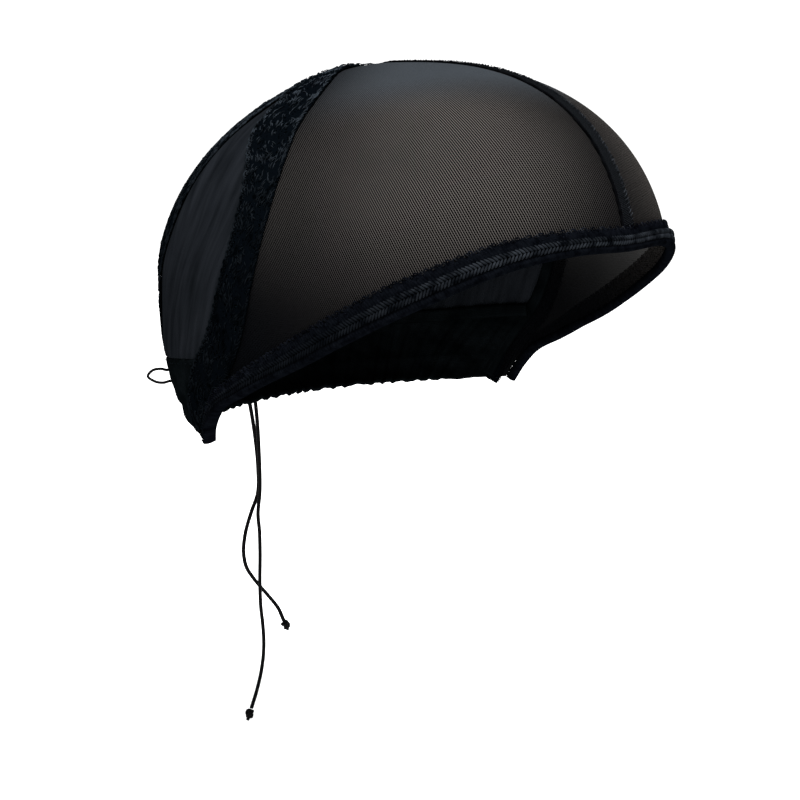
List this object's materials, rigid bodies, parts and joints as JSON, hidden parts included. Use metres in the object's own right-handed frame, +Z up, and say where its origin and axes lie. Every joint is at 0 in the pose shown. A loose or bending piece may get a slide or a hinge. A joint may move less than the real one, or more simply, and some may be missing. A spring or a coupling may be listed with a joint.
{
  "type": "wig cap",
  "caption": "Dome wig cap with sheer net front, lace bands from ear to ear, stretch cloth back, gathered nape and braided elastic front edge, held open as on a head.",
  "frame": {"origin": "inside of the crown, where the cap rests on the top of a head", "axes": "+Z up out of the crown, -Y towards the face, +X towards the wearer's left"},
  "size_m": [0.1632, 0.1928, 0.2626],
  "materials": {
    "net": "sheer net",
    "back_cloth": "soft satin stretch cloth",
    "nape_cloth": "matte gathered cloth",
    "lace": "matte woven lace",
    "front_braid": "matte braided elastic",
    "cord": "smooth twisted cord"
  },
  "bodies": {
    "root": {"front_net_right": "net", "front_net_left": "net", "back_panel_right": "back_cloth", "back_panel_left": "back_cloth", "back_panel_centre": "back_cloth", "nape_band": "nape_cloth", "ear_to_ear_lace": "lace", "back_lace_right": "lace", "back_lace_left": "lace", "centre_seam_welt": "net", "front_band": "front_braid", "nape_loop": "cord", "draw_cord_right": "cord", "cord_knot_right": "cord", "draw_cord_left": "cord", "cord_knot_left": "cord"}
  },
  "joints": []
}
